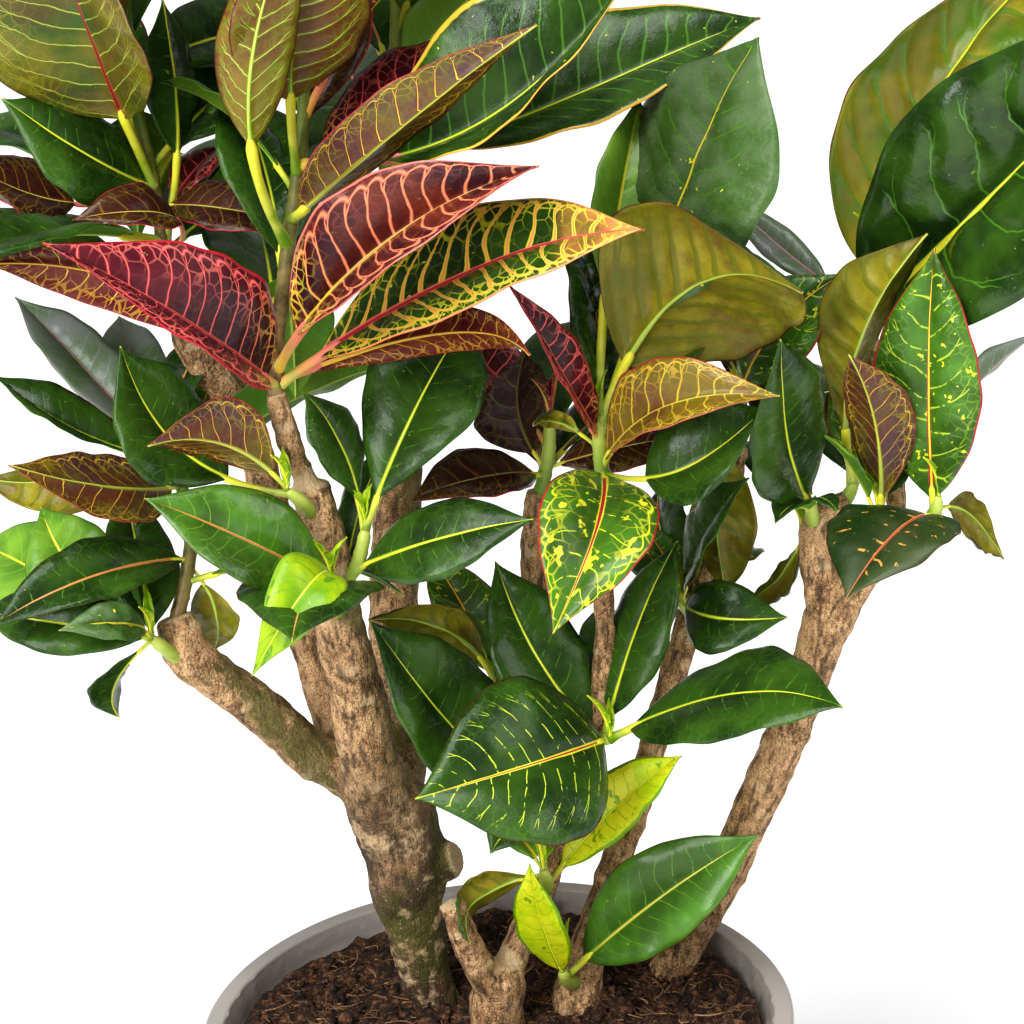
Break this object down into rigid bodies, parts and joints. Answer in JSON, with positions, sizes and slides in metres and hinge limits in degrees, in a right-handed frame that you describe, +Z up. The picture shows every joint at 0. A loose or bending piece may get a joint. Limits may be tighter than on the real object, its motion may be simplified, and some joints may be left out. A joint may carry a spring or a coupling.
{
  "type": "potted croton plant",
  "caption": "Bushy variegated croton with woody branching stems and broad leathery leaves, rooted in dark soil in a tapered round plastic nursery pot.",
  "frame": {"origin": "centre of the pot's flat underside", "axes": "+Z up; the side seen in the picture faces -Y, with +X to its right"},
  "size_m": [0.5542, 0.3688, 0.8283],
  "materials": {
    "pot_plastic": "satin light grey moulded polypropylene",
    "soil": "rough, moist dark peat compost with fibres",
    "bark": "matt grey-tan bark with leaf scars, pale cuts and moss",
    "leaf_green": "glossy, waxy deep green blade with yellow or pink midrib and veins",
    "leaf_wine": "glossy wine-red blade with pink veins and margin",
    "leaf_lime": "glossy bright yellow-green young blade",
    "leaf_olive": "satin olive underside with raised veins"
  },
  "bodies": {
    "root": {"pot": "pot_plastic", "soil": "soil", "wood_left": "bark", "wood_front": "bark", "wood_middle": "bark", "wood_right": "bark", "low_left_shoot": "leaf_green", "left_shoot": "leaf_green", "stump_shoot": "leaf_green", "front_low_shoot": "leaf_green", "front_side_shoot": "leaf_green", "red_shoot": "leaf_wine", "top_left_shoot": "leaf_green", "top_back_shoot": "leaf_green", "heart_shoot": "leaf_green", "middle_shoot": "leaf_green", "low_middle_shoot": "leaf_green", "back_middle_shoot": "leaf_olive", "back_centre_shoot": "leaf_wine", "right_back_shoot": "leaf_green", "right_low_shoot": "leaf_green", "bud_shoot": "leaf_lime", "low_centre_shoot": "leaf_lime", "fork_shoot": "leaf_green", "fork_back_shoot": "leaf_olive", "upright_shoot": "leaf_olive", "right_inner_shoot": "leaf_green", "right_end_shoot": "leaf_green", "far_right_shoot": "leaf_green"}
  },
  "joints": []
}
